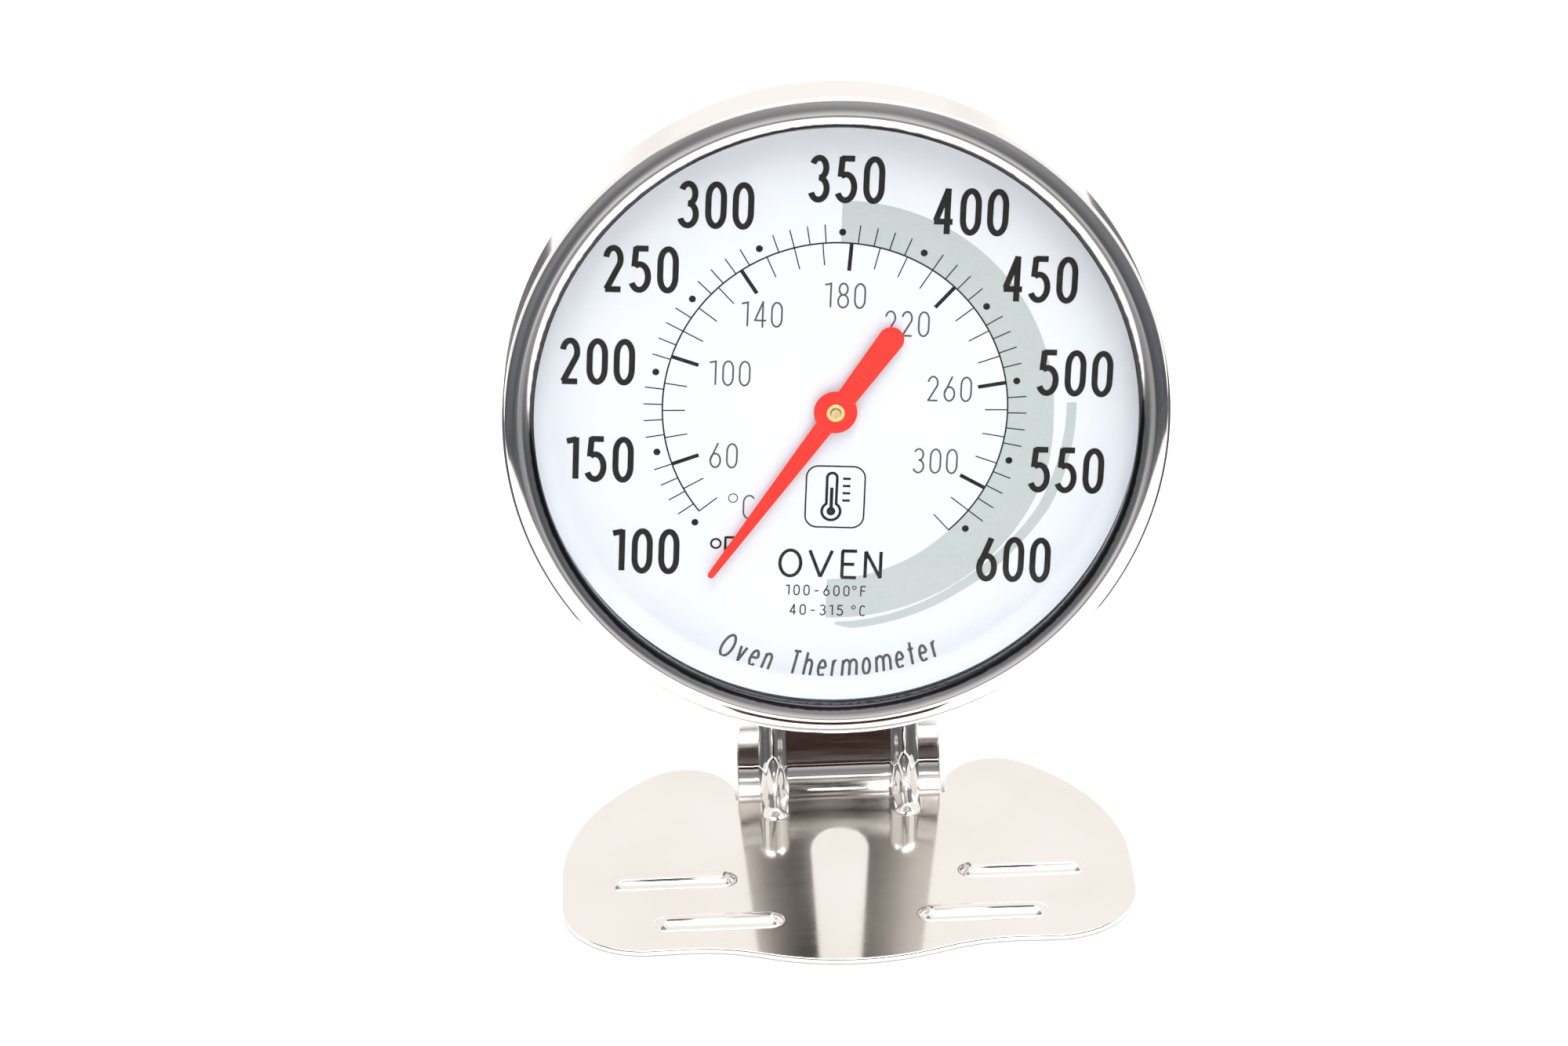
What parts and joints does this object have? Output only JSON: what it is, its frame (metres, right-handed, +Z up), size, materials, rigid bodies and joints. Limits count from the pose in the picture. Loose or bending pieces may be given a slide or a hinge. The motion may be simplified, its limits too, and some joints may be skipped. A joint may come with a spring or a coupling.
{
  "type": "oven thermometer",
  "caption": "Round bimetal dial oven thermometer with a polished bezel, glass front and red pointer, on a slotted one-piece stamped stand whose top folds into a hanging hook.",
  "frame": {"origin": "middle of the foot's flat underside, which rests on the surface", "axes": "+Z up, -Y towards the reader of the dial, +X to the reader's right"},
  "size_m": [0.082, 0.055, 0.1027],
  "materials": {
    "stand_steel": "mirror-polished stamped stainless sheet",
    "bezel_steel": "polished stainless, rolled edge",
    "lens_glass": "flat clear glass",
    "gasket_rubber": "matt black high-temperature gasket",
    "dial_enamel": "satin white printed enamel",
    "case_steel": "bright drawn stainless",
    "rivet_steel": "plain steel rivet",
    "plated_steel": "zinc-plated steel",
    "brass": "turned brass",
    "staff_steel": "ground steel pin",
    "bimetal": "rolled bimetal strip",
    "pointer_red": "satin red enamel"
  },
  "bodies": {
    "case": {"stand": "stand_steel", "bezel_ring": "bezel_steel", "lens": "lens_glass", "lens_gasket": "gasket_rubber", "dial_plate": "dial_enamel", "case_pan": "case_steel", "mounting_rivet_left": "rivet_steel", "mounting_rivet_right": "rivet_steel", "movement_frame": "plated_steel", "front_bridge": "plated_steel", "bridge_rivets": "rivet_steel", "front_bushing": "brass", "rear_bushing": "brass", "thrust_washer": "brass", "bimetal_coil": "bimetal", "coil_anchor": "plated_steel"},
    "pointer": {"pointer": "pointer_red", "pointer_eyelet": "brass", "staff": "staff_steel", "coil_collar": "brass"}
  },
  "joints": [
    {"name": "pointer_spin", "type": "hinge", "parent": "case", "child": "pointer", "pos_m": [0, 0.003, 0.0624], "axis": [0, 0.9848, -0.1736], "range_deg": [-22, 282], "stiffness_Nm_per_rad": 0.001, "deforming": ["bimetal_coil"]}
  ]
}
